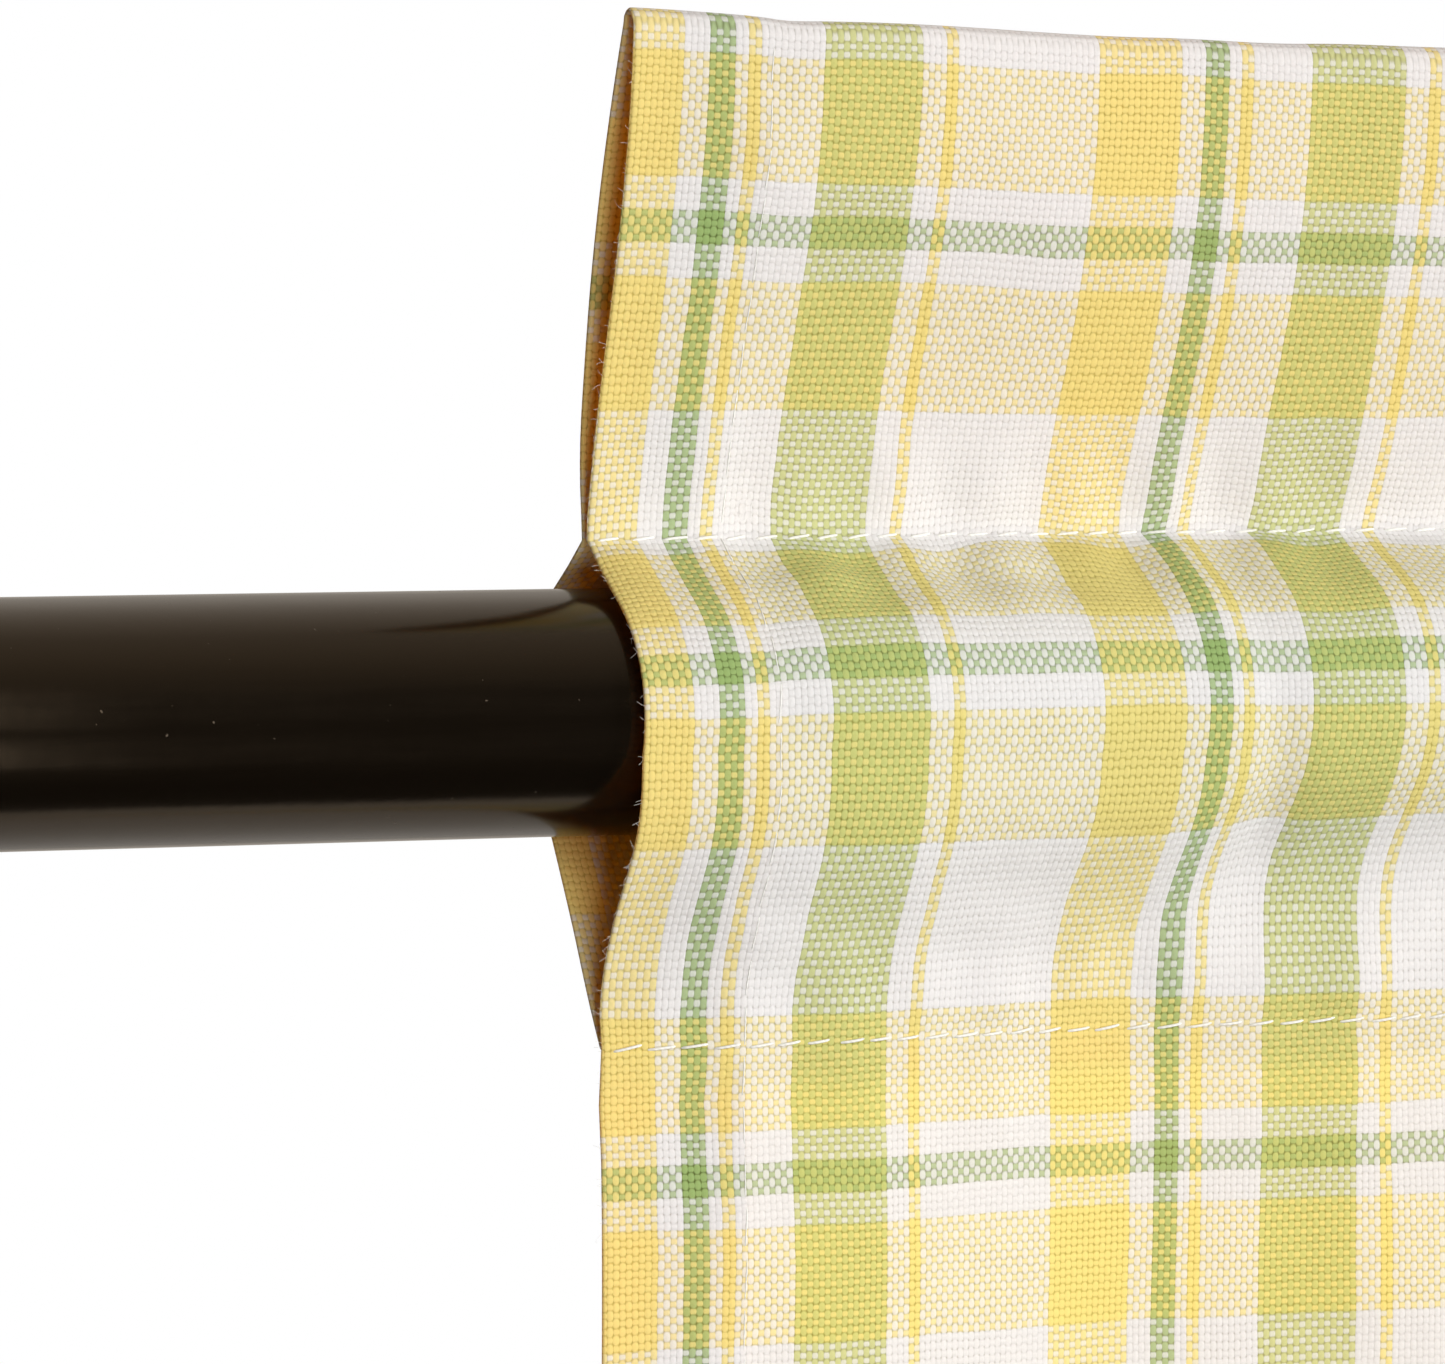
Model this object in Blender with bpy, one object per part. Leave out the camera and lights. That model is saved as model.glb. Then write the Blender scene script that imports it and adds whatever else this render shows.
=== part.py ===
"""Window valance on a curtain rod.

One cloth: its top is folded to the back and sewn down along two lines, which leaves an open header
standing over a pocket that the rod runs through. X runs along the rod, the front faces -Y, Z is up,
and the origin is on the rod's axis halfway along it.
"""

import math

import bmesh
import bpy
from mathutils import Vector
from mathutils.geometry import tessellate_polygon

MM = 0.001

# Rod
ROD_DIAMETER = 25.4
ROD_LENGTH = 2000.0
ROD_EDGE = 1.2
ROD_SIDES = 72

# Cloth, flat
FLAT_WIDTH = 1829.0
HEADER_HEIGHT = 55.8
POCKET_HEIGHT = 61.0
FLAT_HEIGHT = 457.0
SIDE_HEM = 16.0
BOTTOM_HEM = 25.0
TURNED_EDGE = 4.0

# Cloth, as it hangs
FULLNESS = 1.02
HUNG_WIDTH = FLAT_WIDTH / FULLNESS
HALF_LAYER = 0.5
HEM_EXTRA = 0.4
HEM_STEP = 1.0
FRONT_WRAP = ROD_DIAMETER / 2 + 2.0
BACK_WRAP = ROD_DIAMETER / 2 + 1.5
UPPER_STITCH = 17.7
LOWER_STITCH = -34.3
PANEL_DROP = FLAT_HEIGHT - HEADER_HEIGHT - POCKET_HEIGHT

# The header's back layer ends this far behind the front one, and leans over later than it
BACK_TOP = 2.5
BACK_POWER = 1.9

STEPS_PER_FOLD = 3
SHARP_ANGLE = math.radians(40)

# Where the two layers part, measured from the stitches
HEADER_SEAM = 4.5
HEMMED_HEADER_SEAM = 8.5
UPPER_SEAM = 1.2
LOWER_SEAM = 2.0

# A row for each soft fold. "at" is its distance from the left edge. "header" is the cloth from the
# upper stitch to the top fold, which isn't sewn quite even. "lean" is how far forward of that stitch
# the top stands, and a "power" nearer 1 puffs the header out lower down. "upper", "lower" and "hem"
# are how far the two stitch lines and the bottom hem stand forward of the rod's axis. Between rod and
# lower stitch, the pocket's front has a "belly" and draws in below it, or a "tuck" up under the rod.
FOLDS = [
    # at, header, lean, power, upper, lower, hem, belly, tuck
    (0.0, 55.8, 12.8, 1.35, 0.0, 4.2, 7.0, 1.5, 1.3),
    (20.0, 55.3, 13.8, 1.35, 0.7, 6.2, 4.5, 1.2, 0.0),
    (60.0, 54.4, 14.7, 1.15, -0.6, 2.3, 0.5, 1.2, 2.0),
    (78.0, 53.9, 14.8, 1.08, -0.2, 3.4, 4.6, 0.3, 3.9),
    (98.0, 53.3, 14.9, 1.02, 0.2, 4.6, 9.5, 0.3, 3.7),
    (156.0, 53.8, 13.6, 1.25, 0.6, 2.4, -2.0, 1.2, 0.5),
    (222.0, 55.1, 12.2, 1.40, -0.3, 5.6, 8.0, 0.4, 3.0),
    (276.0, 55.6, 14.9, 1.15, 0.4, 3.4, 1.5, 1.4, 0.0),
    (342.0, 54.9, 15.4, 1.05, -0.5, 5.0, 10.5, 0.8, 1.8),
    (431.0, 54.2, 13.1, 1.30, 0.5, 2.2, -3.0, 1.3, 0.3),
    (498.0, 54.6, 14.4, 1.20, 0.1, 4.9, 6.0, 0.2, 3.6),
    (560.0, 55.7, 12.6, 1.40, -0.4, 3.1, 0.0, 1.5, 0.0),
    (641.0, 55.2, 15.6, 1.05, 0.6, 6.0, 11.5, 0.9, 1.2),
    (724.0, 54.0, 13.9, 1.25, -0.2, 2.0, -1.5, 0.5, 2.6),
    (858.0, 54.5, 15.5, 1.02, -0.6, 3.0, 1.0, 1.0, 0.9),
    (940.0, 55.4, 14.6, 1.20, 0.5, 5.8, 10.0, 0.3, 3.4),
    (1012.0, 55.9, 12.4, 1.40, 0.0, 2.5, -3.5, 1.3, 0.4),
    (1083.0, 55.0, 15.2, 1.10, -0.3, 5.1, 7.5, 0.7, 2.1),
    (1140.0, 54.3, 13.4, 1.30, 0.6, 3.3, 2.0, 1.5, 0.0),
    (1221.0, 53.9, 15.4, 1.05, -0.5, 5.5, 11.0, 0.4, 3.1),
    (1306.0, 54.8, 13.0, 1.35, 0.2, 2.1, -2.5, 1.1, 0.8),
    (1374.0, 55.5, 14.8, 1.15, 0.5, 4.7, 6.5, 1.4, 0.1),
    (1446.0, 55.1, 12.7, 1.40, -0.4, 2.9, -0.5, 0.6, 2.4),
    (1528.0, 54.1, 15.5, 1.10, 0.3, 6.1, 10.5, 1.2, 0.6),
    (1607.0, 53.8, 13.7, 1.25, -0.2, 2.6, 0.0, 0.2, 3.7),
    (1706.0, 54.7, 15.1, 1.15, 0.4, 5.2, 8.5, 1.0, 1.0),
    (HUNG_WIDTH, 55.4, 12.9, 1.30, 0.1, 3.6, 3.0, 1.3, 0.2),
]

# Where the sections have their points, as shares of a layer's length from its seam
PANEL_LEVELS = [0.40, 0.66, 0.88]
HEADER_SHARES = [0.20, 0.42, 0.64, 0.86]
FOLD_SHARE = 0.965
FOLD_ANGLES = [math.radians(45), math.radians(90), math.radians(135)]
FRONT_ARC_POINTS = 4
BACK_ARC_POINTS = 5
FRONT_RUN_SHARES = [0.18, 0.42, 0.72]
BACK_RUN_SHARES = [0.34, 0.72]
RISE_STEPS = 60


def fresh_start():
    for thing in list(bpy.data.objects):
        bpy.data.objects.remove(thing)


def material(name, colour, roughness, metallic):
    made = bpy.data.materials.new(name)
    made.use_nodes = True
    shader = made.node_tree.nodes["Principled BSDF"]
    shader.inputs["Base Color"].default_value = (*colour, 1.0)
    shader.inputs["Roughness"].default_value = roughness
    shader.inputs["Metallic"].default_value = metallic
    made.diffuse_color = (*colour, 1.0)
    return made


def solid(name, bm, finish):
    mesh = bpy.data.meshes.new(name)
    bm.to_mesh(mesh)
    bm.free()
    made = bpy.data.objects.new(name, mesh)
    bpy.context.scene.collection.objects.link(made)
    mesh.materials.append(finish)
    mesh.shade_smooth()
    mesh.set_sharp_from_angle(angle=SHARP_ANGLE)
    return made


def fold_at(x):
    """The columns of FOLDS at one distance from the left edge, eased from row to row."""
    for before, after in zip(FOLDS, FOLDS[1:]):
        if x <= after[0]:
            share = (x - before[0]) / (after[0] - before[0])
            eased = (1 - math.cos(math.pi * share)) / 2
            return [b + (a - b) * eased for b, a in zip(before[1:], after[1:])]
    return list(FOLDS[-1][1:])


def in_side_hem(x):
    return min(x, HUNG_WIDTH - x) < SIDE_HEM


def rise(sideways, header, share):
    """Height gained along a header layer, whose own length never changes."""
    length = header * share / RISE_STEPS
    height = 0.0
    for i in range(RISE_STEPS):
        low = sideways(share * i / RISE_STEPS)
        high = sideways(share * (i + 1) / RISE_STEPS)
        height += math.sqrt(max(length**2 - (high - low) ** 2, 0.0))
    return height


def header_layer(sideways, header, shares, start):
    return [(start[0] + sideways(s), start[1] + rise(sideways, header, s)) for s in shares]


def top_fold(front_end, back_end):
    """The turn at the top, between the ends of the header's front and back layers."""
    half_gap = (front_end[0] - back_end[0]) / 2
    turned = []
    for angle in FOLD_ANGLES:
        toward_back = (1 - math.cos(angle)) / 2
        base = front_end[1] + (back_end[1] - front_end[1]) * toward_back
        forward = back_end[0] + half_gap * (1 + math.cos(angle))
        turned.append((forward, base + half_gap * math.sin(angle)))
    return turned


def pocket_layer(top, bottom, side, wrap, arc_points, run_shares, belly, tuck):
    """Middle line of one pocket layer: straight to the rod, round it, and straight down off it."""
    top = (top[0] * side, top[1])
    bottom = (bottom[0] * side, bottom[1])
    first = math.atan2(top[1], top[0]) - math.acos(wrap / math.hypot(*top))
    last = math.atan2(bottom[1], bottom[0]) + math.acos(wrap / math.hypot(*bottom))
    turns = [first + (last - first) * i / (arc_points - 1) for i in range(arc_points)]
    line = [(wrap * math.cos(a), wrap * math.sin(a)) for a in turns]
    leave = line[-1]
    run = math.hypot(bottom[0] - leave[0], bottom[1] - leave[1])
    out = ((leave[1] - bottom[1]) / run, (bottom[0] - leave[0]) / run)
    for s in run_shares:
        bow = belly * math.sin(2 * math.pi * s) - tuck * math.sin(math.pi * s) ** 2
        forward = leave[0] + (bottom[0] - leave[0]) * s + out[0] * bow
        height = leave[1] + (bottom[1] - leave[1]) * s + out[1] * bow
        line.append((forward, height))
    return [(forward * side, height) for forward, height in line]


def middle_line(x):
    """The cloth's middle line at one x, from the bottom hem up the front and down the back."""
    header, lean, power, upper, lower, hem, belly, tuck = fold_at(x)

    def panel(share):
        blend = 1 - (1 - share) ** 2
        return (lower + HALF_LAYER + (hem - lower) * blend, LOWER_STITCH - PANEL_DROP * share)

    def front(share):
        return (lean - HALF_LAYER) * math.sin(math.pi / 2 * share**power)

    def back(share):
        return (lean - BACK_TOP + HALF_LAYER) * share**BACK_POWER

    stitched_front = (upper + HALF_LAYER, UPPER_STITCH)
    stitched_back = (upper - HALF_LAYER, UPPER_STITCH)
    sewn_front = panel(0)
    sewn_back = (lower - HALF_LAYER, LOWER_STITCH)
    edge_share = TURNED_EDGE / PANEL_DROP

    line = [panel(1), panel(1 - BOTTOM_HEM / PANEL_DROP)]
    line += [panel(1 - s) for s in PANEL_LEVELS]
    line.append(sewn_front)
    line += pocket_layer(
        stitched_front, sewn_front, 1, FRONT_WRAP, FRONT_ARC_POINTS, FRONT_RUN_SHARES, belly, tuck
    )[::-1]
    line.append(stitched_front)
    line += header_layer(front, header, [*HEADER_SHARES, FOLD_SHARE], stitched_front)
    down = header_layer(back, header, [FOLD_SHARE, *HEADER_SHARES[::-1]], stitched_back)
    line += top_fold(line[-1], down[0]) + down
    line.append(stitched_back)
    line += pocket_layer(
        stitched_back, sewn_back, -1, BACK_WRAP, BACK_ARC_POINTS, BACK_RUN_SHARES, 0.0, 0.0
    )
    line.append(sewn_back)
    line.append((panel(edge_share)[0] - 2 * HALF_LAYER, panel(edge_share)[1]))

    share = (HEMMED_HEADER_SEAM if in_side_hem(x) else HEADER_SEAM) / header
    header_seam = (upper + (front(share) + back(share)) / 2, UPPER_STITCH + rise(front, header, share))
    seams = [header_seam, (upper, UPPER_STITCH - UPPER_SEAM), (lower, LOWER_STITCH + LOWER_SEAM)]
    return line, seams


def shifted(line, amount):
    """The line moved sideways, to the left of its direction when the amount is positive."""
    moved = []
    for i, (forward, height) in enumerate(line):
        behind = line[max(i - 1, 0)]
        ahead = line[min(i + 1, len(line) - 1)]
        run = math.hypot(ahead[0] - behind[0], ahead[1] - behind[1])
        across = ((behind[1] - ahead[1]) / run, (ahead[0] - behind[0]) / run)
        moved.append((forward + across[0] * amount, height + across[1] * amount))
    return moved


PANEL_POINTS = 2 + len(PANEL_LEVELS)
FRONT_POCKET = PANEL_POINTS + 1
UPPER_FRONT = FRONT_POCKET + FRONT_ARC_POINTS + len(FRONT_RUN_SHARES)
FRONT_HEADER = UPPER_FRONT + 1
TOP_FOLD = FRONT_HEADER + len(HEADER_SHARES) + 1
UPPER_BACK = TOP_FOLD + len(FOLD_ANGLES) + len(HEADER_SHARES) + 1
BACK_POCKET = UPPER_BACK + 1
LOWER_BACK = BACK_POCKET + BACK_ARC_POINTS + len(BACK_RUN_SHARES)


def section(x):
    """The cloth's section at one x: its outline, and the two openings through it."""
    line, (header_seam, upper_seam, lower_seam) = middle_line(x)
    inside = HALF_LAYER + (HEM_EXTRA if in_side_hem(x) else 0.0)
    outer = shifted(line, -HALF_LAYER)
    inner = shifted(line, inside)
    thick = shifted(line, inside + HEM_EXTRA)

    panel_back = (line[-1][0] + 2 * HALF_LAYER - inside, line[-1][1])
    outline = outer + [panel_back] + inner[1:PANEL_POINTS][::-1] + [thick[1], thick[0]]
    header = [header_seam]
    header += inner[FRONT_HEADER:TOP_FOLD] + inner[TOP_FOLD + len(FOLD_ANGLES) : UPPER_BACK]
    pocket = [upper_seam] + inner[FRONT_POCKET:UPPER_FRONT][::-1]
    pocket += [lower_seam] + inner[BACK_POCKET:LOWER_BACK][::-1]
    return [outline, header, pocket]


def section_places():
    """Where along the cloth its sections stand: three to a fold, and two at each side hem's step."""
    places = [0.0]
    for before, after in zip(FOLDS, FOLDS[1:]):
        for i in range(1, STEPS_PER_FOLD + 1):
            places.append(before[0] + (after[0] - before[0]) * i / STEPS_PER_FOLD)
    for step in (SIDE_HEM - HEM_STEP, SIDE_HEM + HEM_STEP):
        places += [step, HUNG_WIDTH - step]
    return sorted(places)


def cloth():
    bm = bmesh.new()
    rows = []
    for x in section_places():
        loops = section(x)
        rows.append(
            [
                [bm.verts.new(Vector((x - HUNG_WIDTH / 2, -f, z)) * MM) for f, z in loop]
                for loop in loops
            ]
        )
    for here, there in zip(rows, rows[1:]):
        for near, far in zip(here, there):
            for i in range(len(near)):
                j = (i + 1) % len(near)
                bm.faces.new((near[i], near[j], far[j], far[i]))
    for row in (rows[0], rows[-1]):
        corners = [v for loop in row for v in loop]
        for triangle in tessellate_polygon([[v.co for v in loop] for loop in row]):
            bm.faces.new([corners[i] for i in triangle])
    bmesh.ops.recalc_face_normals(bm, faces=bm.faces)
    return solid("valance_cloth", bm, material("cotton", (0.83, 0.74, 0.42), 0.92, 0.0))


def rod():
    bm = bmesh.new()
    half = ROD_LENGTH / 2
    radius = ROD_DIAMETER / 2
    profile = [(-half, radius - ROD_EDGE), (-half + ROD_EDGE, radius)]
    profile += [(half - ROD_EDGE, radius), (half, radius - ROD_EDGE)]
    rings = []
    for x, r in profile:
        turns = [2 * math.pi * i / ROD_SIDES for i in range(ROD_SIDES)]
        rings.append([bm.verts.new(Vector((x, r * math.cos(a), r * math.sin(a))) * MM) for a in turns])
    for here, there in zip(rings, rings[1:]):
        for i in range(ROD_SIDES):
            j = (i + 1) % ROD_SIDES
            bm.faces.new((here[i], here[j], there[j], there[i]))
    bm.faces.new(rings[0])
    bm.faces.new(rings[-1])
    bmesh.ops.recalc_face_normals(bm, faces=bm.faces)
    return solid("rod", bm, material("black_gloss", (0.012, 0.010, 0.009), 0.22, 0.0))


fresh_start()
cloth()
rod()
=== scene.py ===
"""Looks of the window valance on its rod: plaid cotton cloth, its stitching, and a gloss black rod."""

import math

import bpy
import numpy as np
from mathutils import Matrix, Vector


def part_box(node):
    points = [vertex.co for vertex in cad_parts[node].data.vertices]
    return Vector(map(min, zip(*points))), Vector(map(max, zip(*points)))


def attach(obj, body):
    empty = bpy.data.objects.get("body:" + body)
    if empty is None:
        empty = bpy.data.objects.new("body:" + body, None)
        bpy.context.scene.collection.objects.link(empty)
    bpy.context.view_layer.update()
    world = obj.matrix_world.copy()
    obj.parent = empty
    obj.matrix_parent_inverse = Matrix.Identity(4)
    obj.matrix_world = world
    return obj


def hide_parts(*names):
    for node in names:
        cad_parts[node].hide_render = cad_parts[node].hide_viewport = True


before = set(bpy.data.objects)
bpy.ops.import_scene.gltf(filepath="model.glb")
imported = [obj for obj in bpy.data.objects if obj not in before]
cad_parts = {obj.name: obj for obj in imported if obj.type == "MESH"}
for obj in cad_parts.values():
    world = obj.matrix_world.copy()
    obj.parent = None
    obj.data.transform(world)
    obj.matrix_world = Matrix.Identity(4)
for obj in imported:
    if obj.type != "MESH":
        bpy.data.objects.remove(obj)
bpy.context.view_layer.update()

MM = 0.001

# Rod
ROD_RADIUS = 12.7
ROD_EDGE = 1.2
ROD_SIDES = 192

# Cloth, flat
FLAT_WIDTH = 1829.0
FLAT_HEIGHT = 457.0
HEADER_HEIGHT = 55.8
POCKET_HEIGHT = 61.0
SIDE_HEM = 16.0
BOTTOM_HEM = 25.0
TURNED_EDGE = 4.0
TURNED_UNDER = 6.0

# Cloth, as it hangs
FULLNESS = 1.02
HUNG_WIDTH = FLAT_WIDTH / FULLNESS
HALF_SEAM = 0.32
HALF_HEM_SEAM = 0.95
PLY_GAP = 0.60
FRONT_WRAP = ROD_RADIUS + 2.2
BACK_WRAP = ROD_RADIUS + 1.9
UPPER_STITCH = 17.7
LOWER_STITCH = -34.3
PANEL_DROP = FLAT_HEIGHT - HEADER_HEIGHT - POCKET_HEIGHT
BACK_TOP = 2.5
BACK_POWER = 1.9
HEADER_SHARE = 0.965  # of each header layer that lies below the top fold
EDGE_FOLD = 0.47  # half of the cloth that a side fold takes up

# A row for each soft fold, as in the part's source. "header" is the cloth from the upper stitch to
# the top fold. "lean" and "power" shape it. "upper", "lower" and "hem" are how far the two stitch
# lines and the bottom hem stand forward of the rod's axis. "belly" and "tuck" shape the pocket's front
# below the rod.
FOLDS = np.array([
    # at, header, lean, power, upper, lower, hem, belly, tuck
    (0.0, 55.8, 12.8, 1.35, 0.0, 4.2, 7.0, 1.5, 1.3),
    (20.0, 55.3, 13.8, 1.35, 0.7, 6.2, 4.5, 1.2, 0.0),
    (60.0, 54.4, 14.7, 1.15, -0.6, 2.3, 0.5, 1.2, 2.0),
    (78.0, 53.9, 14.8, 1.08, -0.2, 3.4, 4.6, 0.3, 3.9),
    (98.0, 53.3, 14.9, 1.02, 0.2, 4.6, 9.5, 0.3, 3.7),
    (156.0, 53.8, 13.6, 1.25, 0.6, 2.4, -2.0, 1.2, 0.5),
    (222.0, 55.1, 12.2, 1.40, -0.3, 5.6, 8.0, 0.4, 3.0),
    (276.0, 55.6, 14.9, 1.15, 0.4, 3.4, 1.5, 1.4, 0.0),
    (342.0, 54.9, 15.4, 1.05, -0.5, 5.0, 10.5, 0.8, 1.8),
    (431.0, 54.2, 13.1, 1.30, 0.5, 2.2, -3.0, 1.3, 0.3),
    (498.0, 54.6, 14.4, 1.20, 0.1, 4.9, 6.0, 0.2, 3.6),
    (560.0, 55.7, 12.6, 1.40, -0.4, 3.1, 0.0, 1.5, 0.0),
    (641.0, 55.2, 15.6, 1.05, 0.6, 6.0, 11.5, 0.9, 1.2),
    (724.0, 54.0, 13.9, 1.25, -0.2, 2.0, -1.5, 0.5, 2.6),
    (858.0, 54.5, 15.5, 1.02, -0.6, 3.0, 1.0, 1.0, 0.9),
    (940.0, 55.4, 14.6, 1.20, 0.5, 5.8, 10.0, 0.3, 3.4),
    (1012.0, 55.9, 12.4, 1.40, 0.0, 2.5, -3.5, 1.3, 0.4),
    (1083.0, 55.0, 15.2, 1.10, -0.3, 5.1, 7.5, 0.7, 2.1),
    (1140.0, 54.3, 13.4, 1.30, 0.6, 3.3, 2.0, 1.5, 0.0),
    (1221.0, 53.9, 15.4, 1.05, -0.5, 5.5, 11.0, 0.4, 3.1),
    (1306.0, 54.8, 13.0, 1.35, 0.2, 2.1, -2.5, 1.1, 0.8),
    (1374.0, 55.5, 14.8, 1.15, 0.5, 4.7, 6.5, 1.4, 0.1),
    (1446.0, 55.1, 12.7, 1.40, -0.4, 2.9, -0.5, 0.6, 2.4),
    (1528.0, 54.1, 15.5, 1.10, 0.3, 6.1, 10.5, 1.2, 0.6),
    (1607.0, 53.8, 13.7, 1.25, -0.2, 2.6, 0.0, 0.2, 3.7),
    (1706.0, 54.7, 15.1, 1.15, 0.4, 5.2, 8.5, 1.0, 1.0),
    (HUNG_WIDTH, 55.4, 12.9, 1.30, 0.1, 3.6, 3.0, 1.3, 0.2),
])

# Cotton ends along the left fold
FIBRES = 110
FIBRE_RADIUS = 0.018

# Yarns: how far apart, and each colour's run of yarns in one repeat
WARP_PITCH = 58.04 / 82
WEFT_PITCH = 53.5 / 61
WARP_START = 70
WEFT_GREEN = 23.2

WHITE = (0.79, 0.78, 0.775)
GOLD = (0.98, 0.86, 0.30)
GREEN = (0.312, 0.463, 0.161)
LIME = (0.565, 0.627, 0.211)
WARP_RUN = [
    (GREEN, 4), (WHITE, 2), (GOLD, 2), (WHITE, 10), (LIME, 16), (WHITE, 4), (GOLD, 2), (WHITE, 24),
    (GOLD, 14), (WHITE, 4),
]
WEFT_RUN = [(GREEN, 4), (WHITE, 4), (GOLD, 15), (WHITE, 19), (GOLD, 15), (WHITE, 4)]

# The weft isn't beaten in quite evenly: how far the pattern is ahead, down the front
WEFT_AHEAD = np.array([
    # place, ahead
    (0, 0.4), (26, 0.7), (42, -0.6), (58, 0.5), (70, 1.9), (80, 2.0), (94, 1.2), (114, -2.1),
    (126, -0.7), (133, -0.4), (148, 0.8), (190, 0.4), (250, -0.3), (330, 0.4), (FLAT_HEIGHT, 0.0),
])

# Main creases. "across" and "down" are the middle, "turn" is in degrees from level, and
# "out" is the height of a ridge, or the depth of a trough when it is negative.
CREASES = [
    # across, down, turn, length, width, out
    (76, 88, 84, 16, 3.2, -0.9), (24, 63, -8, 9, 1.8, 0.45), (31, 66, -10, 8, 1.8, -0.40),
    (45, 60, 5, 8, 1.6, 0.40), (52, 64, 14, 9, 1.8, -0.40), (38, 61, -14, 6, 1.5, -0.35),
    (66, 62, 60, 8, 2.2, 0.50), (61, 48, 78, 9, 3.0, -0.35), (14, 49, 82, 9, 2.6, 0.30),
    (44, 104, 12, 12, 3.0, 0.40), (64, 106, -20, 9, 2.4, -0.35), (20, 106, 18, 8, 2.4, 0.35),
    (30, 122, 80, 11, 2.6, 0.30), (58, 121, -78, 12, 3.0, -0.35), (84, 122, 70, 12, 2.8, 0.35),
    (150, 84, 76, 18, 4.0, -0.8), (236, 92, -80, 20, 4.5, 0.8), (318, 100, 40, 15, 3.5, 0.6),
    (402, 86, 82, 17, 4.0, -0.8), (505, 96, -72, 18, 4.0, 0.8), (610, 88, 76, 16, 3.6, -0.8),
    (735, 98, 35, 16, 3.4, 0.6), (846, 84, -82, 18, 4.2, -0.8), (968, 95, 74, 19, 4.4, 0.8),
    (1074, 90, -70, 15, 3.8, -0.7), (1190, 99, 48, 15, 3.2, 0.6), (1297, 86, 80, 18, 4.0, -0.8),
    (1420, 94, -76, 17, 4.0, 0.8), (1538, 90, 78, 18, 4.2, -0.8), (1650, 98, 30, 14, 3.2, 0.6),
    (1745, 88, -82, 16, 3.8, -0.8),
]

# The side hem isn't folded quite along one yarn: how far outward its edge is, down the front
EDGE_OUT = np.array([
    # place, out
    (0, 0.2), (45, 0.3), (58, 0.1), (75, 0.0), (105, 0.1), (122, 0.6), (200, 0.7), (300, 0.2),
    (FLAT_HEIGHT, 0.5),
])


# Shader maths

class Value:
    """A shader socket that takes part in plain sums."""

    def __init__(self, nodes, socket):
        self.nodes = nodes
        self.socket = socket

    def maths(self, operation, first, second=None):
        inputs = {0: first} if second is None else {0: first, 1: second}
        return self.nodes.node("ShaderNodeMath", {"operation": operation}, inputs)

    def __add__(self, other):
        return self.maths("ADD", self, other)

    def __radd__(self, other):
        return self.maths("ADD", other, self)

    def __sub__(self, other):
        return self.maths("SUBTRACT", self, other)

    def __rsub__(self, other):
        return self.maths("SUBTRACT", other, self)

    def __mul__(self, other):
        return self.maths("MULTIPLY", self, other)

    def __rmul__(self, other):
        return self.maths("MULTIPLY", other, self)

    def __truediv__(self, other):
        return self.maths("DIVIDE", self, other)

    def __mod__(self, other):
        return self.maths("FLOORED_MODULO", self, other)

    def __pow__(self, other):
        return self.maths("POWER", self, other)

    def floor(self):
        return self.maths("FLOOR", self)

    def cosine(self):
        return self.maths("COSINE", self)

    def at_least(self, other):
        return self.maths("MAXIMUM", self, other)

    def at_most(self, other):
        return self.maths("MINIMUM", self, other)

    def other(self, output):
        """Another output of the same node."""
        return Value(self.nodes, self.socket.node.outputs[output])


class Nodes:
    """One set of shader nodes, and the one way that they are made."""

    def __init__(self, tree):
        self.tree = tree

    def node(self, kind, settings=None, inputs=None, output=0):
        made = self.tree.nodes.new(kind)
        for key, value in (settings or {}).items():
            if key == "stops":
                ramp = made.color_ramp
                ramp.interpolation = "CONSTANT"
                while len(ramp.elements) < len(value):
                    ramp.elements.new(1.0)
                for element, (place, colour) in zip(ramp.elements, value):
                    element.position = place
                    element.color = (*colour, 1.0)
            else:
                setattr(made, key, value)
        for key, value in (inputs or {}).items():
            self.feed(made.inputs[key], value)
        return Value(self, made.outputs[output])

    def feed(self, socket, value):
        if isinstance(value, Value):
            self.tree.links.new(value.socket, socket)
        else:
            socket.default_value = value

    def mix(self, share, first, second, blend="MIX"):
        """Mixes two colours."""
        settings = {"data_type": "RGBA", "blend_type": blend, "clamp_factor": True}
        return self.node("ShaderNodeMix", settings, {0: share, 6: first, 7: second}, output=2)


class Finish(Nodes):
    """One material."""

    def __init__(self, name):
        self.material = bpy.data.materials.new(name)
        self.material.use_nodes = True
        super().__init__(self.material.node_tree)
        self.shader = self.tree.nodes["Principled BSDF"]
        self.output = self.tree.nodes["Material Output"]

    def set(self, **sockets):
        for name, value in sockets.items():
            self.feed(self.shader.inputs[name.replace("_", " ")], value)

    def glow(self, share, colour):
        """Lets some of the light through."""
        through = self.node("ShaderNodeBsdfTranslucent", {}, {"Color": colour})
        whole = {0: share, 1: Value(self, self.shader.outputs[0]), 2: through}
        self.feed(self.output.inputs["Surface"], self.node("ShaderNodeMixShader", {}, whole))

    def grey(self, level):
        return self.node("ShaderNodeCombineColor", {}, {0: level, 1: level, 2: level})

    def place(self, x, y, z=0.0):
        return self.node("ShaderNodeCombineXYZ", {}, {0: x, 1: y, 2: z})

    def noise(self, vector, scale, detail=2.0, roughness=0.5):
        inputs = {"Vector": vector, "Scale": scale, "Detail": detail, "Roughness": roughness}
        return self.node("ShaderNodeTexNoise", {}, inputs)


def stripes(finish, yarn, runs):
    """The colour of a yarn from its number, through one repeat's runs of colour."""
    count = sum(n for _, n in runs)
    stops = []
    start = 0
    for colour, n in runs:
        stops.append((start / count, colour))
        start += n
    return finish.node("ShaderNodeValToRGB", {"stops": stops}, {0: ((yarn % count) + 0.5) / count})


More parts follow.
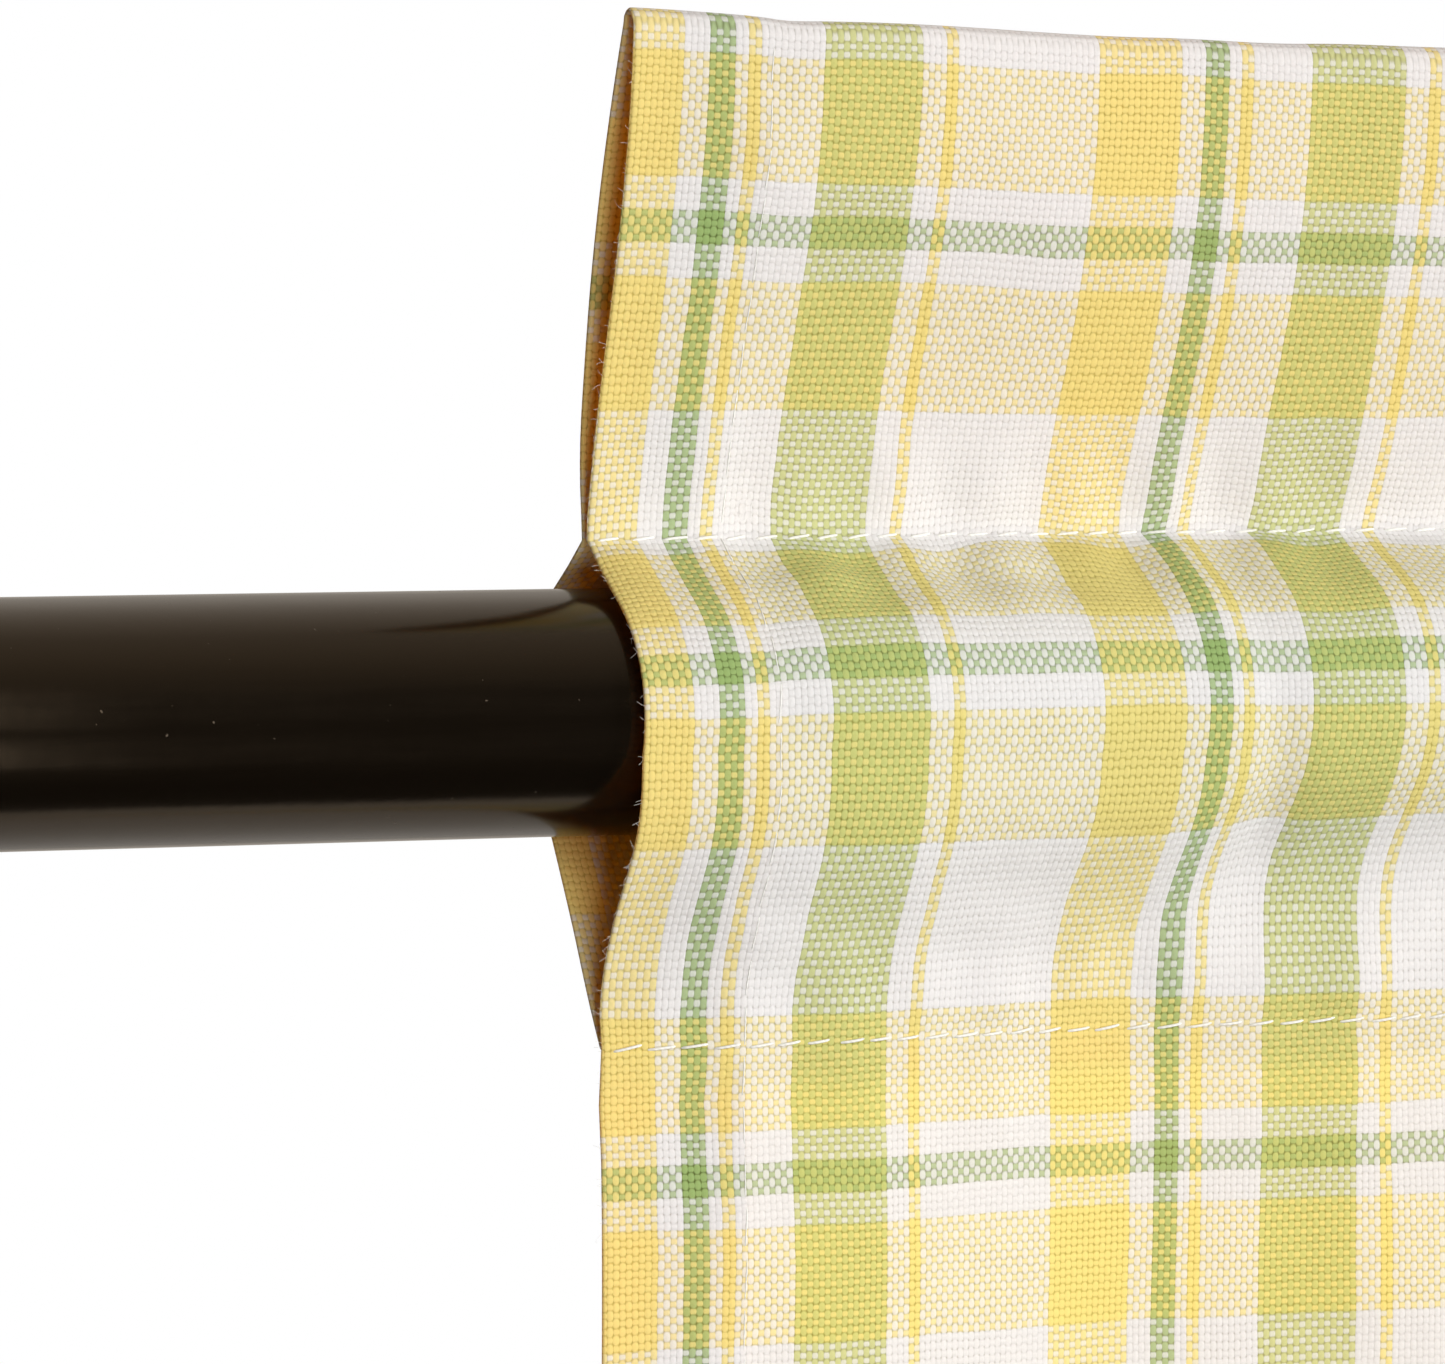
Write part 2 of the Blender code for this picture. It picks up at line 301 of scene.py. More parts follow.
def plaid_cotton():
    """Yarn-dyed plain weave: every yarn has its own height, colour and slight unevenness."""
    f = Finish("plaid_cotton")
    flat = f.node("ShaderNodeUVMap", {"uv_map": "flat"})
    along = f.node("ShaderNodeSeparateXYZ", {}, {0: flat})
    down = along.other(1)

    # Yarns wander a little from their straight course
    drift = f.noise(flat, 55.0, 4.0, 0.62) - 0.5
    sway = f.noise(f.place(down, along, 3.1), 48.0, 4.0, 0.62) - 0.5
    u = along * (1000 / WARP_PITCH) + sway * 1.1 + WARP_START
    v = (down * 1000 - WEFT_GREEN) / WEFT_PITCH + drift * 1.1 + 2.0

    warp = u.floor()
    weft = v.floor()
    off_warp = u - warp - 0.5
    off_weft = v - weft - 0.5
    over = 1 - 2 * ((warp + weft) % 2)

    # Thick and thin places along each yarn. The warp's floats are long, the weft's low and short.
    warp_slub = f.noise(f.place(warp * 7.31, down * 90, 0.0), 1.0, 2.0)
    weft_slub = f.noise(f.place(along * 90, weft * 5.17, 4.0), 1.0, 2.0)
    warp_half = 0.52 + (warp_slub - 0.5) * 0.22
    weft_half = 0.32 + (weft_slub - 0.5) * 0.20
    warp_crown = 1 - (off_warp / warp_half) ** 2
    weft_crown = 1 - (off_weft / weft_half) ** 2
    uneven = (f.noise(flat, 900.0, 2.0) - 0.5) * 0.60
    warp_top = over * (off_weft * math.pi).cosine() * 0.50 + warp_crown * 0.50 + uneven + 0.12
    flat_wave = ((off_warp * math.pi).cosine() * 1.6).at_most(1.0)
    weft_top = 0 - over * flat_wave * 0.50 + weft_crown * 0.50
    height = warp_top.at_least(weft_top).at_least(0.0)
    warp_shows = ((warp_top - weft_top) * 1.5 + 0.5).at_least(0.0).at_most(1.0)

    warp_colour = stripes(f, warp, WARP_RUN)
    weft_colour = stripes(f, weft, WEFT_RUN)

    # Light spreads in the cotton, so each yarn takes on some of the colour of those that it crosses
    lit_weft = f.mix(0.28, weft_colour, warp_colour)
    lit_warp = f.mix(0.18, warp_colour, weft_colour)
    colour = f.mix(warp_shows, lit_weft, lit_warp)

    # Deep between the yarns, light has met both of them, so their colours are multiplied there; the gaps are also
    # darkened with painted shade, most where the yarns are coloured and little where they are white
    depth = ((height - 0.18) / 0.50).at_least(0.0).at_most(1.0)
    gap_shade_colour = f.mix(1.0, warp_colour, weft_colour, "MULTIPLY")
    whiteness = f.node("ShaderNodeSeparateColor", {}, {0: gap_shade_colour}, output=2)
    gap_shade_level = 0.42 + 0.65 * whiteness
    gap_shade_colour = f.mix(1.0, gap_shade_colour, f.grey(gap_shade_level), "MULTIPLY")
    colour = f.mix((1 - depth) * (0.74 - 0.80 * whiteness), colour, gap_shade_colour)

    # Pinholes where four yarns meet, some of them closed. Their colour is darkened with painted shade, most in
    # the open ones
    corner = (1 - (off_warp * math.pi).cosine()) * (1 - (off_weft * math.pi).cosine())
    opened = ((f.noise(f.place(along, down, 7.0), 70.0, 3.0) - 0.40) * 5).at_least(0.0).at_most(1.0)
    pinhole = corner ** 3 * (0.08 + 0.62 * opened)
    colour = f.mix(pinhole, colour, f.mix(1.0, gap_shade_colour, (0.42, 0.36, 0.24, 1.0), "MULTIPLY"))

    # Fibres, and each yarn a shade lighter or darker
    fibre = f.noise(f.place(along * 1000, down * 1000, 0.0), 4.5, 3.0, 0.6)
    shade = 0.85 + 0.17 * fibre + 0.07 * warp_slub + 0.05 * weft_slub
    colour = f.mix(1.0, colour, f.grey(shade), "MULTIPLY")

    f.set(Base_Color=colour, Roughness=0.93 - 0.08 * depth)
    f.shader.inputs["Specular IOR Level"].default_value = 0.18
    f.shader.inputs["Sheen Weight"].default_value = 0.12
    f.shader.inputs["Sheen Roughness"].default_value = 0.5
    relief = height + fibre * 0.20 - pinhole * 0.5
    f.set(Normal=f.node("ShaderNodeBump", {}, {"Strength": 0.5, "Distance": 0.00018, "Height": relief}))

    # Thin cotton glows a deep gold where the light comes through it, most of all through its gold yarns
    red = f.node("ShaderNodeSeparateColor", {}, {0: colour})
    f.glow((0.11 + (red - red.other(2)) * 0.30).at_most(0.4), (1.0, 0.50, 0.02, 1.0))
    return f.material


def sewing_thread():
    """Two-ply white cotton thread."""
    f = Finish("sewing_thread")
    where = f.node("ShaderNodeTexCoord", {}, {}, output=3)
    x = f.node("ShaderNodeSeparateXYZ", {}, {0: where})
    ply = ((x * 9000 + x.other(2) * 9000).cosine() + 1) * 0.5
    fuzz = f.noise(where, 2600.0, 2.0)
    f.set(
        Base_Color=f.mix(fuzz, (0.80, 0.78, 0.73, 1), (0.90, 0.88, 0.84, 1)),
        Roughness=0.72 + 0.2 * fuzz,
    )
    relief = ply + fuzz * 0.4
    f.set(Normal=f.node("ShaderNodeBump", {}, {"Strength": 0.5, "Distance": 0.00008, "Height": relief}))
    return f.material


def black_gloss():
    """Gloss black lacquer on a steel tube: a faint orange peel, fine rubs along it, and dust."""
    f = Finish("black_lacquer")
    where = f.node("ShaderNodeTexCoord", {}, {}, output=3)
    stretched = f.node("ShaderNodeMapping", {}, {0: where, 3: (0.06, 1.0, 1.0)})
    rub = f.noise(stretched, 900.0, 3.0, 0.6)
    peel = f.noise(where, 240.0, 2.0)
    dust = ((f.noise(where, 1300.0, 1.0) - 0.79) * 18).at_least(0.0).at_most(1.0)
    patch = f.noise(where, 30.0, 2.0)
    f.set(
        Base_Color=f.mix(dust * 0.55, (0.003, 0.002, 0.0012, 1), (0.10, 0.085, 0.07, 1)),
        Roughness=0.115 + 0.07 * rub + 0.05 * patch + 0.4 * dust,
    )
    f.shader.inputs["Specular IOR Level"].default_value = 0.5
    f.shader.inputs["Specular Tint"].default_value = (1.0, 0.74, 0.48, 1.0)
    height = peel + rub * 0.06 + dust * 0.5
    f.set(Normal=f.node("ShaderNodeBump", {}, {"Strength": 0.10, "Distance": 0.0002, "Height": height}))
    return f.material


def pale_floor():
    f = Finish("pale_floor")
    where = f.node("ShaderNodeTexCoord", {}, {}, output=3)
    tone = f.noise(where, 3.0, 2.0)
    f.set(Base_Color=f.mix(tone, (0.80, 0.79, 0.77, 1), (0.86, 0.85, 0.83, 1)), Roughness=0.9)
    return f.material


# The cloth's shape

def soft_noise(seed, across, down, shortest, longest, waves=28):
    """A smooth uneven field, from plane waves of mixed lengths and directions."""
    rng = np.random.default_rng(seed)
    field = np.zeros(np.broadcast(across, down).shape)
    for _ in range(waves):
        length = math.exp(rng.uniform(math.log(shortest), math.log(longest)))
        turn = rng.uniform(0, math.pi)
        phase = rng.uniform(0, 2 * math.pi)
        field += np.sin(2 * math.pi * (across * math.cos(turn) + down * math.sin(turn)) / length + phase)
    return field / math.sqrt(waves / 2)


def eased(x):
    """The columns of FOLDS at each place along the cloth, eased from row to row."""
    row = np.clip(np.searchsorted(FOLDS[:, 0], x, side="right") - 1, 0, len(FOLDS) - 2)
    before, after = FOLDS[row], FOLDS[row + 1]
    share = np.clip((x - before[:, 0]) / (after[:, 0] - before[:, 0]), 0, 1)
    soft = ((1 - np.cos(np.pi * share)) / 2)[:, None]
    return (before + (after - before) * soft).T


def header_layer(sideways, header, share):
    """One layer of the header, over every section at once. Its own length never changes."""
    steps = 48
    grid = share * np.linspace(0, 1, steps + 1)[:, None]
    forward = sideways(grid)
    length = header * share / steps
    height = np.sqrt(np.maximum(length**2 - np.diff(forward, axis=0) ** 2, 0)).sum(axis=0)
    return forward[-1], height


def pocket_layer(top, bottom, side, wrap, shares, belly, tuck):
    """One layer of the pocket at one section, sampled evenly along its length."""
    top = np.array([top[0] * side, top[1]])
    bottom = np.array([bottom[0] * side, bottom[1]])
    first = math.atan2(top[1], top[0]) - math.acos(wrap / np.hypot(*top))
    last = math.atan2(bottom[1], bottom[0]) + math.acos(wrap / np.hypot(*bottom))
    turns = np.linspace(first, last, 24)
    arc = wrap * np.stack([np.cos(turns), np.sin(turns)], axis=1)
    run = np.linspace(0, 1, 24)[1:, None]
    way = bottom - arc[-1]
    out = np.array([-way[1], way[0]]) / np.hypot(*way)
    bow = belly * np.sin(2 * np.pi * run) - tuck * np.sin(np.pi * run) ** 2
    fall = arc[-1] + way * run + out * bow
    line = np.concatenate([[top], arc, fall])
    line[:, 0] *= side
    gone = np.concatenate([[0], np.cumsum(np.hypot(*np.diff(line, axis=0).T))])
    at = np.array(shares) * gone[-1]
    return np.interp(at, gone, line[:, 0]), np.interp(at, gone, line[:, 1])


def rows_of_cloth():
    """Each row across the cloth: its layer, its share of it, and its distance from the top fold."""
    rows = []
    for share in np.linspace(1, 0.02, 9):
        rows.append(("hem_back", share, FLAT_HEIGHT + BOTTOM_HEM * share))
    rows.append(("hem_fold", 0.0, FLAT_HEIGHT))
    for share in 1 - (1 - np.linspace(0, 1, 48)[::-1][:-1]) ** 0.8:
        rows.append(("panel", share, FLAT_HEIGHT - PANEL_DROP * (1 - share)))
    for share in np.linspace(1, 0, 38)[:-1]:
        rows.append(("pocket_front", share, HEADER_HEIGHT + POCKET_HEIGHT * share))
    for share in np.linspace(0, HEADER_SHARE, 30):
        rows.append(("header_front", share, HEADER_HEIGHT * (1 - share)))
    for angle in np.linspace(0, np.pi, 8)[1:-1]:
        rows.append(("top_fold", angle, HEADER_HEIGHT * (1 - HEADER_SHARE) * math.cos(angle)))
    for share in np.linspace(HEADER_SHARE, 0, 22):
        rows.append(("header_back", share, -HEADER_HEIGHT * (1 - share)))
    for share in np.linspace(0, 1, 30)[1:]:
        rows.append(("pocket_back", share, -HEADER_HEIGHT - POCKET_HEIGHT * share))
    for share in (0.5, 1.0):
        rows.append(("edge", share, -HEADER_HEIGHT - POCKET_HEIGHT - TURNED_EDGE * share))
    for share in (0.1, 0.6, 1.0):
        rows.append(("under", share, -HEADER_HEIGHT - POCKET_HEIGHT - TURNED_EDGE - TURNED_UNDER * share))
    return rows


def section(x):
    """The cloth's middle line at every place in x: forward and height for each row of cloth."""
    _, header, lean, power, upper, lower, hem, belly, tuck = eased(x)
    rows = rows_of_cloth()
    from_edge = np.minimum(x, HUNG_WIDTH - x) - SIDE_HEM
    half_seam = HALF_SEAM + (HALF_HEM_SEAM - HALF_SEAM) / (1 + np.exp(from_edge / 0.8))
    forward = np.zeros((len(rows), len(x)))
    height = np.zeros((len(rows), len(x)))

    def panel(share):
        blend = 1 - (1 - share) ** 2
        return lower + half_seam + (hem - lower) * blend, LOWER_STITCH - PANEL_DROP * share

    def front(share):
        return (lean - half_seam) * np.sin(np.pi / 2 * share**power)

    def back(share):
        return (lean - BACK_TOP) * share**BACK_POWER

    ends = {}
    for name, sideways, side in (("header_front", front, 1), ("header_back", back, -1)):
        gone, up = header_layer(sideways, header, np.full(len(x), HEADER_SHARE))
        ends[name] = (upper + side * half_seam + gone, UPPER_STITCH + up)
    pockets = {"pocket_front": [], "pocket_back": []}
    for name in pockets:
        shares = [share for layer, share, _ in rows if layer == name]
        side = 1 if name == "pocket_front" else -1
        wrap, curved = (FRONT_WRAP, 1) if side == 1 else (BACK_WRAP, 0)
        for u, l, half, b, t in zip(upper, lower, half_seam, belly * curved, tuck * curved):
            top = (u + side * half, UPPER_STITCH)
            bottom = (l + side * half, LOWER_STITCH)
            pockets[name].append(pocket_layer(top, bottom, side, wrap, shares, b, t))
    seen = {"pocket_front": 0, "pocket_back": 0}
    for i, (layer, share, _) in enumerate(rows):
        if layer == "hem_back":
            forward[i], height[i] = panel(1 - BOTTOM_HEM / PANEL_DROP * share)
            forward[i] -= PLY_GAP
        elif layer == "hem_fold":
            forward[i], height[i] = panel(1.0)
            forward[i] -= PLY_GAP / 2
            height[i] -= PLY_GAP / 2
        elif layer == "panel":
            forward[i], height[i] = panel(share)
        elif layer in pockets:
            k = seen[layer]
            seen[layer] += 1
            forward[i] = [p[0][k] for p in pockets[layer]]
            height[i] = [p[1][k] for p in pockets[layer]]
        elif layer in ends:
            side = 1 if layer == "header_front" else -1
            gone, up = header_layer(front if side == 1 else back, header, np.full(len(x), share))
            forward[i] = upper + side * half_seam + gone
            height[i] = UPPER_STITCH + up
        elif layer == "top_fold":
            (f0, h0), (f1, h1) = ends["header_front"], ends["header_back"]
            half = (f0 - f1) / 2
            forward[i] = f1 + half * (1 + math.cos(share))
            height[i] = h0 + (h1 - h0) * (1 - math.cos(share)) / 2 + half * math.sin(share)
        elif layer == "edge":
            at, down = panel(TURNED_EDGE / PANEL_DROP * share)
            forward[i] = at - half_seam * 2 - PLY_GAP * share
            height[i] = down
        else:
            at, down = panel(TURNED_EDGE / PANEL_DROP - TURNED_UNDER / PANEL_DROP * share)
            forward[i] = at - half_seam * 2 - PLY_GAP * (1 - share) * 0.4
            height[i] = LOWER_STITCH - TURNED_EDGE + TURNED_UNDER * 0.6 * share
    return forward, height


def columns_of_cloth():
    """Flat places along the cloth's width. Below 0 and past the width lie the turned-back side hems."""
    turned = -np.linspace(SIDE_HEM, 1.2, 9)
    bend = -np.linspace(EDGE_FOLD, -EDGE_FOLD, 6)
    near = np.linspace(1.2, 118, 100)
    far = np.linspace(118, FLAT_WIDTH - 24, 385)[1:]
    last = np.linspace(FLAT_WIDTH - 24, FLAT_WIDTH - 1.2, 10)[1:]
    return np.concatenate([turned, bend, near, far, last, FLAT_WIDTH + bend, FLAT_WIDTH - turned[::-1]])


def turned_hem(u):
    """Where a flat place ends up once the side hems are turned back: its place, and its depth behind."""
    radius = 2 * EDGE_FOLD / math.pi
    mirrored = np.minimum(u, FLAT_WIDTH - u)
    turn = np.clip((EDGE_FOLD - mirrored) / radius, 0, math.pi)
    bent = EDGE_FOLD - radius * np.sin(turn)
    inner = np.where(mirrored < -EDGE_FOLD, -mirrored, np.where(mirrored > EDGE_FOLD, mirrored, bent))
    depth = radius * (1 - np.cos(turn))
    return np.where(u < FLAT_WIDTH / 2, inner, FLAT_WIDTH - inner), depth


def edge_shift(u, rows):
    """How far to the right each point lies of where an even side hem would put it."""
    out = np.array([-np.interp(row[2], *EDGE_OUT.T) if row[2] > 0 else 0.0 for row in rows])
    tucked = np.array([1.4 if row[0] in ("edge", "under") else 0.0 for row in rows])
    near = np.minimum(np.abs(u), np.abs(FLAT_WIDTH - u))
    side = np.where(u < FLAT_WIDTH / 2, 1, -1)
    return side * (out[:, None] * np.exp(-near / 5.0) + tucked[:, None] * np.exp(-near / 7.0))


def cloth_grid():
    """Every point of the cloth, with its flat place."""
    u = columns_of_cloth()
    at, depth = turned_hem(u)
    rows = rows_of_cloth()
    w = np.array([row[2] for row in rows])
    forward, height = section(at / FULLNESS)

    # Unevenness, straight out from the cloth: most beside the two lines of stitching
    d_forward = np.gradient(forward, axis=0)
    d_height = np.gradient(height, axis=0)
    length = np.hypot(d_forward, d_height)
    out_f, out_h = d_height / length, -d_forward / length
    A, W = at[None, :], w[:, None]
    broad = soft_noise(3, A, W, 45, 150) * 0.45
    below = np.abs(W) - HEADER_HEIGHT
    from_seams = np.minimum(np.abs(below), np.abs(below - POCKET_HEIGHT))
    near_seam = np.exp(-((from_seams / 11) ** 2)) * (1 - np.exp(-((from_seams / 2.2) ** 2)))
    pucker = soft_noise(11, A, W * 0.35, 9, 34) * 0.42 * near_seam
    creases = np.zeros(forward.shape)
    for across, down, turn, length, width, out in CREASES:
        turn = math.radians(turn)
        along_it = (A - across) * math.cos(turn) + (W - down) * math.sin(turn)
        over_it = (W - down) * math.cos(turn) - (A - across) * math.sin(turn)
        creases += out * np.exp(-((along_it / length) ** 2) - (over_it / width) ** 2)
    side = np.exp(-((np.minimum(A, FLAT_WIDTH - A) - SIDE_HEM) / 3.0) ** 2)
    draw = soft_noise(19, A * 0.3, W, 9, 30) * 0.16 * side
    move = np.maximum(broad * np.clip(from_seams / 12, 0, 1) + pucker + draw + creases, -0.9)
    forward = forward + out_f * (move - depth[None, :])
    height = height + out_h * (move - depth[None, :])
    x = at[None, :] / FULLNESS - HUNG_WIDTH / 2 + edge_shift(u, rows)
    return u, w, np.stack([x, -forward, height], axis=2) * MM


def mesh_piece(name, points, faces, finish):
    mesh = bpy.data.meshes.new(name)
    mesh.from_pydata([tuple(p) for p in points], [], faces)
    mesh.materials.append(finish)
    mesh.shade_smooth()
    piece = bpy.data.objects.new(name, mesh)
    bpy.context.scene.collection.objects.link(piece)
    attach(piece, "root")
    return piece


def cloth(grid, finish):
    u, w, points = grid
    rows, columns = points.shape[:2]
    number = np.arange(rows * columns).reshape(rows, columns)
    faces = np.stack([number[:-1, :-1], number[:-1, 1:], number[1:, 1:], number[1:, :-1]], axis=2)
    faces = faces.reshape(-1, 4)
    piece = mesh_piece("valance_sheet", points.reshape(-1, 3), faces.tolist(), finish)
    flat = np.stack(np.broadcast_arrays(u[None, :], w[:, None]), axis=2).reshape(-1, 2) * MM
    by_seam = np.exp(-(((np.abs(w) - 60) / 9) ** 2))[:, None]
    pull = soft_noise(23, u[None, :], w[:, None] * 0.3, 12, 34) * 0.55 * by_seam
    ahead = np.where(w > 0, np.interp(w, *WEFT_AHEAD.T), 0.0)[:, None] + pull
    outward = np.where(w > 0, np.interp(w, *EDGE_OUT.T), 0.0)[:, None] * np.exp(-np.abs(u) / 5.0)
    woven = flat + np.stack(np.broadcast_arrays(-outward, ahead), axis=2).reshape(-1, 2) * MM
    corners = faces.reshape(-1)
    layer = piece.data.uv_layers.new(name="flat")
    layer.data.foreach_set("uv", woven[corners].astype(np.float32).reshape(-1))
    bake = piece.data.uv_layers.new(name="OFBake")
    bake.data.foreach_set("uv", bake_map(flat, faces).astype(np.float32).reshape(-1))
    return piece


def bake_map(flat, faces):
    """The flat cloth cut into three strips, one over the other, to fill a square."""
    low, high = flat.min(axis=0), flat.max(axis=0)
    strip = (high[0] - low[0]) / 3
    corner = flat[faces.reshape(-1)].reshape(-1, 4, 2)
    which = np.minimum(((corner[:, :, 0].mean(axis=1) - low[0]) / strip).astype(int), 2)
    across = (corner[:, :, 0] - low[0] - which[:, None] * strip) / strip
    down = (corner[:, :, 1] - low[1]) / (high[1] - low[1])
    return np.stack([0.01 + across * 0.98, (which[:, None] + 0.02 + down * 0.96) / 3], axis=2)


class Surface:
    """Finds the cloth's point and outward direction at any flat place."""

    def __init__(self, grid):
        self.u, self.w, self.points = grid

    def point(self, u, w):
        column = np.interp(u, self.u, np.arange(len(self.u)))
        row = np.interp(-w, -self.w, np.arange(len(self.w)))
        c = np.clip(column.astype(int), 0, len(self.u) - 2)
        r = np.clip(row.astype(int), 0, len(self.w) - 2)
        s, t = (column - c)[:, None], (row - r)[:, None]
        p = self.points
        upper = p[r, c] * (1 - s) + p[r, c + 1] * s
        lower = p[r + 1, c] * (1 - s) + p[r + 1, c + 1] * s
        return upper * (1 - t) + lower * t

    def out(self, u, w):
        """Straight out of the cloth's right side."""
        across = self.point(u + 0.4, w) - self.point(u - 0.4, w)
        down = self.point(u, w + 0.4) - self.point(u, w - 0.4)
        normal = np.cross(down, across)
        return normal / np.linalg.norm(normal, axis=1)[:, None]


def stitch_line(surface, start, end, seed, lift, pitch, gap, radius, lean, crown):
    """Machine stitches between two flat places: each a short thread that dips in at both ends."""
    rng = np.random.default_rng(seed)
    start, end = np.array(start, float), np.array(end, float)
    length = np.hypot(*(end - start))
    count = int(length / pitch)
    way = (end - start) / length
    side = np.array([-way[1], way[0]])
    points, faces = [], []
    shares = np.array([0.0, 0.18, 0.5, 0.82, 1.0])
    dips = crown * np.array([-1.6, 0.4, 1.0, 0.4, -1.6])
    turns = np.arange(6) * math.pi / 3
    for k in range(count):
        begin = k * pitch + gap / 2 + rng.normal(0, 0.10)
        reach = pitch - gap + rng.normal(0, 0.12)
        slant = rng.normal(lean, 0.10)
        drift = rng.normal(0, 0.05)
        flat = start + way * (begin + reach * shares)[:, None]
        flat = flat + side * (drift + slant * (shares - 0.5))[:, None]
        middle = surface.point(flat[:, 0], flat[:, 1])
        normal = surface.out(flat[:, 0], flat[:, 1]) * (1 if lift > 0 else -1)
        middle = middle + normal * (abs(lift) + dips[:, None]) * MM
        along = np.gradient(middle, axis=0)
        along /= np.linalg.norm(along, axis=1)[:, None]
        across = np.cross(along, normal)
        base = len(points)
        for m, n, a in zip(middle, normal, across):
            for t in turns:
                points.append(m + (a * math.cos(t) + n * math.sin(t)) * radius * MM)
        for i in range(len(shares) - 1):
            for j in range(6):
                q = base + i * 6
                faces.append((q + j, q + (j + 1) % 6, q + 6 + (j + 1) % 6, q + 6 + j))
        faces.append(tuple(base + j for j in range(5, -1, -1)))
        faces.append(tuple(base + (len(shares) - 1) * 6 + j for j in range(6)))
    return points, faces


def sewn(name, surface, lines, pitch, gap, radius, lean, crown, finish):
    points, faces = [], []
    for seed, (start, end, lift) in enumerate(lines):
        p, f = stitch_line(surface, start, end, seed + 5, lift, pitch, gap, radius, lean, crown)
        faces += [tuple(i + len(points) for i in face) for face in f]
        points += p
    return mesh_piece(name, points, faces, finish)


def loose_fibres(surface, finish):
    """Fine ends of cotton that stand off the cloth's left fold, where it passes the rod."""
    rng = np.random.default_rng(41)
    points, faces = [], []
    for _ in range(FIBRES):
        w = rng.uniform(1, HEADER_HEIGHT + POCKET_HEIGHT + 20)
        start = surface.point(np.array([0.1]), np.array([w]))[0]
        way = np.array([-1.0, rng.normal(-0.2, 0.5), rng.normal(0, 0.7)])
        way /= np.linalg.norm(way)
        bend = np.array([0.0, rng.normal(0, 0.5), rng.normal(0, 0.5)])
        length = rng.uniform(0.25, 1.1)
        steps = np.linspace(0, 1, 5)[:, None]
        middle = start + (way * steps * length + bend * steps**2 * length * 0.6) * MM
        base = len(points)
        for m in middle:
            for turn in np.arange(3) * 2 * math.pi / 3:
                points.append(m + np.array([0.0, math.cos(turn), math.sin(turn)]) * FIBRE_RADIUS * MM)
        for i in range(4):
            for j in range(3):
                q = base + i * 3
                faces.append((q + j, q + (j + 1) % 3, q + 3 + (j + 1) % 3, q + 3 + j))
    return mesh_piece("loose_fibres", points, faces, finish)


def curtain_rod(finish):
    low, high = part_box("rod")
    x0, x1 = low[0] / MM, high[0] / MM
    profile = [(x0, 0.02), (x0, ROD_RADIUS - ROD_EDGE)]
    for angle in np.radians([15, 30, 45, 60, 75, 90]):
        profile.append((x0 + ROD_EDGE * (1 - math.cos(angle)), ROD_RADIUS - ROD_EDGE * (1 - math.sin(angle))))
    middle = np.linspace(x0 + ROD_EDGE, x1 - ROD_EDGE, 42)[1:-1]
    profile += [(x, ROD_RADIUS) for x in middle]
    for angle in np.radians([90, 75, 60, 45, 30, 15]):
        profile.append((x1 - ROD_EDGE * (1 - math.cos(angle)), ROD_RADIUS - ROD_EDGE * (1 - math.sin(angle))))
    profile += [(x1, ROD_RADIUS - ROD_EDGE), (x1, 0.02)]
    points, faces = [], []
    for x, r in profile:
        for i in range(ROD_SIDES):
            angle = 2 * math.pi * i / ROD_SIDES
            points.append((x * MM, r * math.cos(angle) * MM, r * math.sin(angle) * MM))
    for k in range(len(profile) - 1):
        for i in range(ROD_SIDES):
            j = (i + 1) % ROD_SIDES
            faces.append((k * ROD_SIDES + i, k * ROD_SIDES + j, (k + 1) * ROD_SIDES + j, (k + 1) * ROD_SIDES + i))
    faces.append(tuple(range(ROD_SIDES)))
    faces.append(tuple((len(profile) - 1) * ROD_SIDES + i for i in range(ROD_SIDES))[::-1])
    piece = mesh_piece("curtain_rod", points, faces, finish)
    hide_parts("rod")
    return piece


# Stage, light and camera

BEHIND = 0.62
OVERHEAD = 0.68
FROM_LEFT = 0.16


def lamp(name, place, aim, size, power, colour):
    data = bpy.data.lights.new(name, "AREA")
    data.shape = "RECTANGLE"
    data.size, data.size_y = size
    data.energy = power
    data.color = colour
    made = bpy.data.objects.new(name, data)
    made.location = place
    made.rotation_euler = (Vector(aim) - Vector(place)).to_track_quat("-Z", "Y").to_euler()
    bpy.context.scene.collection.objects.link(made)


def studio():
    """A pale room behind and above, dark in front, so that the rod mirrors little."""
    world = bpy.data.worlds.new("studio")
    bpy.context.scene.world = world
    world.use_nodes = True
    sky = Nodes(world.node_tree)
    generated = sky.node("ShaderNodeTexCoord", {}, {}, output="Generated")
    way = sky.node("ShaderNodeSeparateXYZ", {}, {0: generated})

    def level(axis, start, end, low, high):
        reach = {"From Min": start, "From Max": end, "To Min": low, "To Max": high}
        return sky.node("ShaderNodeMapRange", {}, {"Value": way.other(axis), **reach})

    room = level("Y", -0.1, 0.7, 0.03, BEHIND) + level("Z", 0.35, 1.0, 0.0, OVERHEAD)
    room = room * level("X", -0.3, 0.3, FROM_LEFT, 1.0)
    seen = sky.node("ShaderNodeLightPath", {}, {}, output="Is Camera Ray")
    background = world.node_tree.nodes["Background"]
    sky.feed(background.inputs["Strength"], sky.node("ShaderNodeMix", {}, {0: seen, 2: room, 3: 1.0}))
    sky.feed(background.inputs["Color"], sky.mix(seen, (1.0, 0.91, 0.80, 1.0), (1.0, 1.0, 1.0, 1.0)))
    edge = -HUNG_WIDTH / 2 * MM
    aim = (edge + 0.08, 0, 0)
    lamp("key", (edge - 0.05, -1.55, 0.42), aim, (0.8, 1.0), 16.4, (1.0, 0.99, 0.97))
    lamp("right", (edge + 2.7, -1.46, 0.35), aim, (1.1, 1.4), 52, (1.0, 0.995, 0.985))
    lamp("back", (1.6, 2.4, 0.9), (0, 0, 0), (1.6, 1.6), 44, (1.0, 1.0, 1.0))
    lamp("low", (edge - 0.1, -1.3, -0.62), aim, (0.9, 0.6), 9.5, (1.0, 0.99, 0.975))
    bpy.context.scene.view_settings.view_transform = "Standard"


